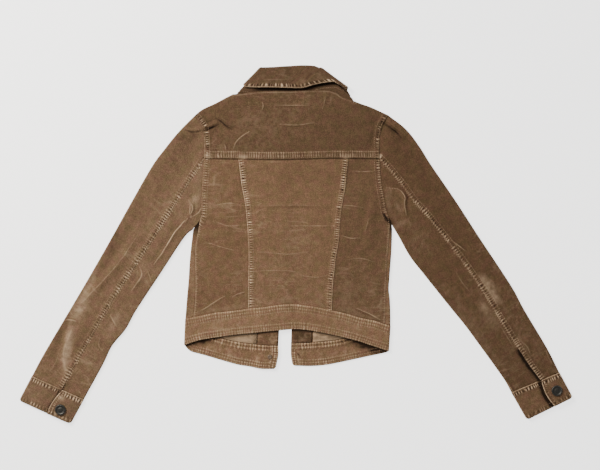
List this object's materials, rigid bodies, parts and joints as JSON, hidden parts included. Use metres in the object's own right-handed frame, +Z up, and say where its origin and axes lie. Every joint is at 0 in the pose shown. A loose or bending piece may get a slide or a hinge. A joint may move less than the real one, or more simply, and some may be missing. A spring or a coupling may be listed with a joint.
{
  "type": "corduroy jacket",
  "caption": "Cropped fine-wale corduroy jacket with a back yoke, shaped panels, collar, cuffs and waistband, laid flat with its back up and its fronts unbuttoned.",
  "frame": {"origin": "centre of the bounding box on the surface that the jacket lies on", "axes": "+X across the garment from its left in this view to its right, sleeve to sleeve; +Y from the hem to the collar; +Z up out of the back of the jacket"},
  "size_m": [1.0218, 0.6586, 0.0114],
  "materials": {
    "corduroy": "brown fine-wale cotton corduroy, matt, washed pale on its ridges",
    "corduroy_bands": "the same corduroy doubled, with its wales across the garment",
    "pocket_twill": "pale tan cotton twill, matt",
    "dark_metal": "dark antique plating, worn, satin"
  },
  "bodies": {
    "root": {"back_center_panel": "corduroy", "back_side_panel_left": "corduroy", "back_side_panel_right": "corduroy", "back_yoke": "corduroy", "collar": "corduroy_bands", "cuff_button_left": "dark_metal", "cuff_button_right": "dark_metal", "cuff_left": "corduroy_bands", "cuff_right": "corduroy_bands", "front_button_1": "dark_metal", "front_button_2": "dark_metal", "front_button_3": "dark_metal", "front_button_4": "dark_metal", "front_button_5": "dark_metal", "front_facing_left": "corduroy", "front_facing_right": "corduroy", "front_panel_left": "corduroy", "front_panel_right": "corduroy", "pocket_bag_left": "pocket_twill", "pocket_bag_right": "pocket_twill", "sleeve_under_left": "corduroy", "sleeve_under_right": "corduroy", "sleeve_upper_left": "corduroy", "sleeve_upper_right": "corduroy", "waistband": "corduroy_bands", "waistband_button": "dark_metal", "waistband_button_tack": "dark_metal"}
  },
  "joints": []
}
